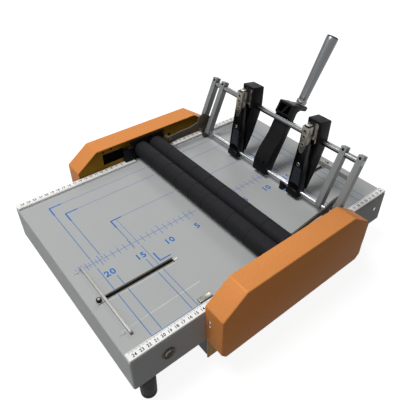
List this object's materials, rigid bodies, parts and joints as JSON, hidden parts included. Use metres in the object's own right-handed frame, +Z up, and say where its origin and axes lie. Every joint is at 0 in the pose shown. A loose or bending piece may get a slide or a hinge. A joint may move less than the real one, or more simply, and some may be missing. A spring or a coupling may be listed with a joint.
{
  "type": "booklet maker",
  "caption": "Tabletop electric booklet maker: stapling heads on a hinged frame with a long pull handle, folding rollers over a fold knife, and a low paper table with sliding stops.",
  "frame": {"origin": "middle of the underside of the whole machine's bounding box, on the desk under the feet", "axes": "+X along the paper's path from the left table toward the staplers, +Y away from the operator toward the far cover, +Z up"},
  "size_m": [0.5224, 0.4212, 0.332],
  "materials": {
    "paint_grey": "satin light grey paint",
    "paint_copper": "satin metallic copper paint",
    "paint_bronze": "dark olive bronze paint",
    "paint_black": "gloss black paint",
    "steel": "bright ground steel",
    "chrome": "polished chrome plate",
    "nickel": "nickel plated steel",
    "aluminium": "satin extruded aluminium",
    "rubber": "matte black rubber",
    "plastic_black": "gloss black moulding",
    "ruler_white": "white strip with black marks and digits",
    "acetal": "natural acetal"
  },
  "bodies": {
    "base": {"chassis_pan": "paint_black", "control_box": "plastic_black", "cover_far": "paint_copper", "cover_near": "paint_copper", "drive_motor": "steel", "foot_far_left": "rubber", "foot_far_right": "rubber", "foot_near_left": "rubber", "foot_near_right": "rubber", "foot_switch_socket": "chrome", "guide_tab": "steel", "knife_guide_far": "steel", "knife_guide_near": "steel", "knife_motor": "steel", "lower_rail": "chrome", "power_inlet": "plastic_black", "rail_bracket_far": "paint_black", "rail_bracket_near": "paint_black", "ruler_far_left": "ruler_white", "ruler_far_right": "ruler_white", "ruler_near_left": "ruler_white", "ruler_near_right": "ruler_white", "side_plate_far": "paint_bronze", "side_plate_near": "paint_bronze", "table_left": "paint_grey", "table_right": "paint_grey"},
    "roller_front": {"roller_front_sleeve": "rubber", "roller_front_shaft": "steel", "gear_front": "acetal"},
    "roller_rear": {"roller_rear_sleeve": "rubber", "roller_rear_shaft": "steel", "gear_rear": "acetal"},
    "drive_wheel": {"gear_drive": "acetal"},
    "knife": {"knife_blade": "steel", "knife_carrier": "steel"},
    "lift_pinion": {"knife_pinion": "steel"},
    "swing_frame": {"upper_rail": "chrome", "arm_1": "aluminium", "arm_2": "aluminium", "arm_3": "aluminium", "arm_4": "aluminium", "handle_arm": "paint_black", "handle_nut": "chrome", "handle_tube": "chrome", "stapler_near_cover": "plastic_black", "stapler_near_channel": "nickel", "stapler_far_cover": "plastic_black", "stapler_far_channel": "nickel"},
    "magazine_near": {"stapler_near_magazine": "paint_black", "stapler_near_nose": "nickel"},
    "magazine_far": {"stapler_far_magazine": "paint_black", "stapler_far_nose": "nickel"},
    "stop_left": {"stop_left_bar": "steel", "stop_left_slider": "steel"},
    "stop_left_clamp": {"stop_left_knob": "chrome"},
    "stop_right": {"stop_right_bar": "steel", "stop_right_slider": "steel"},
    "stop_right_clamp": {"stop_right_knob": "chrome"},
    "rocker": {"power_rocker": "plastic_black"}
  },
  "joints": [
    {"name": "roller_front_spin", "type": "hinge", "parent": "base", "child": "roller_front", "pos_m": [-0.02616, -0.013, 0.13], "axis": [0, 1, 0], "continuous": true},
    {"name": "roller_rear_spin", "type": "hinge", "parent": "base", "child": "roller_rear", "pos_m": [0.00384, -0.013, 0.13], "axis": [0, 1, 0], "continuous": true},
    {"name": "drive_wheel_spin", "type": "hinge", "parent": "base", "child": "drive_wheel", "pos_m": [-0.04611, -0.013, 0.088], "axis": [0, 1, 0], "continuous": true},
    {"name": "knife_lift", "type": "slide", "parent": "base", "child": "knife", "axis": [0, 0, 1], "range_m": [0, 0.016]},
    {"name": "lift_pinion_turn", "type": "hinge", "parent": "base", "child": "lift_pinion", "pos_m": [0.00484, -0.002, 0.0365], "axis": [0, 1, 0], "range_deg": [0, 102.4]},
    {"name": "frame_swing", "type": "hinge", "parent": "base", "child": "swing_frame", "pos_m": [0.10984, -0.013, 0.127], "axis": [0, -1, 0], "range_deg": [0, 80]},
    {"name": "magazine_near_press", "type": "hinge", "parent": "swing_frame", "child": "magazine_near", "pos_m": [0.10984, -0.013, 0.127], "axis": [0, 1, 0], "range_deg": [0, 3], "stiffness_Nm_per_rad": 0.4, "springref_deg": -11.46},
    {"name": "magazine_far_press", "type": "hinge", "parent": "swing_frame", "child": "magazine_far", "pos_m": [0.10984, -0.013, 0.127], "axis": [0, 1, 0], "range_deg": [0, 3], "stiffness_Nm_per_rad": 0.4, "springref_deg": -11.46},
    {"name": "stop_left_slide", "type": "slide", "parent": "base", "child": "stop_left", "axis": [1, 0, 0], "range_m": [0, 0.1]},
    {"name": "stop_left_knob_turn", "type": "hinge", "parent": "stop_left", "child": "stop_left_clamp", "pos_m": [-0.24616, -0.0775, 0.112], "axis": [0, 0, 1], "continuous": true},
    {"name": "stop_right_slide", "type": "slide", "parent": "base", "child": "stop_right", "axis": [-1, 0, 0], "range_m": [0, 0.07]},
    {"name": "stop_right_knob_turn", "type": "hinge", "parent": "stop_right", "child": "stop_right_clamp", "pos_m": [0.22134, -0.0615, 0.112], "axis": [0, 0, 1], "continuous": true},
    {"name": "power_rocker_tip", "type": "hinge", "parent": "base", "child": "rocker", "pos_m": [0.17584, 0.1733, 0.083], "axis": [-1, 0, 0], "range_deg": [0, 16]}
  ],
  "couplings": [
    {"joint": "roller_rear_spin", "follows": "roller_front_spin", "ratio": -1},
    {"joint": "drive_wheel_spin", "follows": "roller_front_spin", "ratio": -0.47619},
    {"joint": "lift_pinion_turn", "follows": "knife_lift", "rad_per_m": 111.11}
  ]
}
